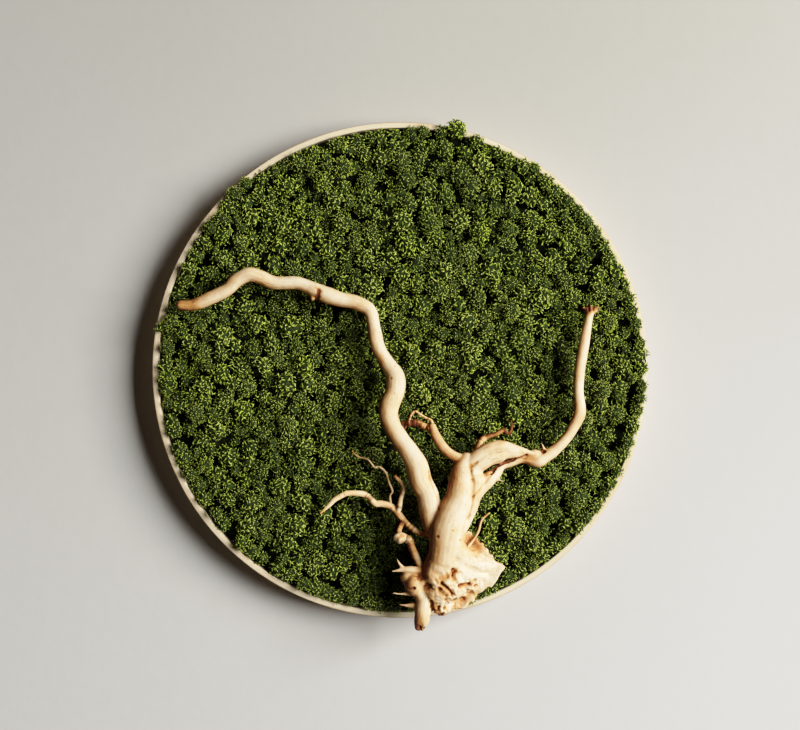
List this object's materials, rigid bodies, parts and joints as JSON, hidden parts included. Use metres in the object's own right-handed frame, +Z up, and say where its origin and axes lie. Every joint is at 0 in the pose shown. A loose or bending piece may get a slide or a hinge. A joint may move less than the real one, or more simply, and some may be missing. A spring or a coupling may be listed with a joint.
{
  "type": "round framed moss panel",
  "caption": "Round wall panel of preserved reindeer moss packed in a bent birch hoop, with a branched piece of pale driftwood screwed on in front.",
  "frame": {"origin": "centre of the panel's back face, where it lies against the wall", "axes": "+Z up as hung, +Y into the wall, so the moss looks towards -Y, +X to the viewer's right"},
  "size_m": [0.6026, 0.121, 0.6111],
  "materials": {
    "birch_hoop": "bare sanded bentwood, fine lengthwise grain",
    "birch_plywood": "bare plywood with rotary-cut figure",
    "moss": "soft matt branching tufts, lighter at the tips",
    "driftwood": "weathered bare wood, fine grain, small cracks and knots",
    "driftwood_red": "reddish brown weathered wood",
    "steel": "bright zinc-plated sheet and screws"
  },
  "bodies": {
    "root": {"hoop": "birch_hoop", "back_board": "birch_plywood", "hanger_plate_left": "steel", "hanger_plate_right": "steel", "plate_screw_left_lower": "steel", "plate_screw_left_upper": "steel", "plate_screw_right_lower": "steel", "plate_screw_right_upper": "steel", "burl_screw_left": "steel", "burl_screw_right": "steel", "root_burl": "driftwood", "trunk": "driftwood", "left_branch": "driftwood", "right_wedge": "driftwood", "right_branch": "driftwood", "curved_twig": "driftwood", "left_twig": "driftwood", "upright_twig": "driftwood", "wiry_twig": "driftwood", "fine_shoot": "driftwood", "hook_twig": "driftwood_red", "knob_twig": "driftwood_red", "moss_clump_01": "moss", "moss_clump_02": "moss", "moss_clump_03": "moss", "moss_clump_04": "moss", "moss_clump_05": "moss", "moss_clump_06": "moss", "moss_clump_07": "moss", "moss_clump_08": "moss", "moss_clump_09": "moss", "moss_clump_10": "moss", "moss_clump_11": "moss", "moss_clump_12": "moss", "moss_clump_13": "moss", "moss_clump_14": "moss", "moss_clump_15": "moss", "moss_clump_16": "moss", "moss_clump_17": "moss", "moss_clump_18": "moss", "moss_clump_19": "moss", "moss_clump_20": "moss", "moss_clump_21": "moss", "moss_clump_22": "moss", "moss_clump_23": "moss", "moss_clump_24": "moss", "moss_clump_25": "moss", "moss_clump_26": "moss", "moss_clump_27": "moss", "moss_clump_28": "moss", "moss_clump_29": "moss", "moss_clump_30": "moss", "moss_clump_31": "moss", "moss_clump_32": "moss", "moss_clump_33": "moss", "moss_clump_34": "moss", "moss_clump_35": "moss"}
  },
  "joints": []
}
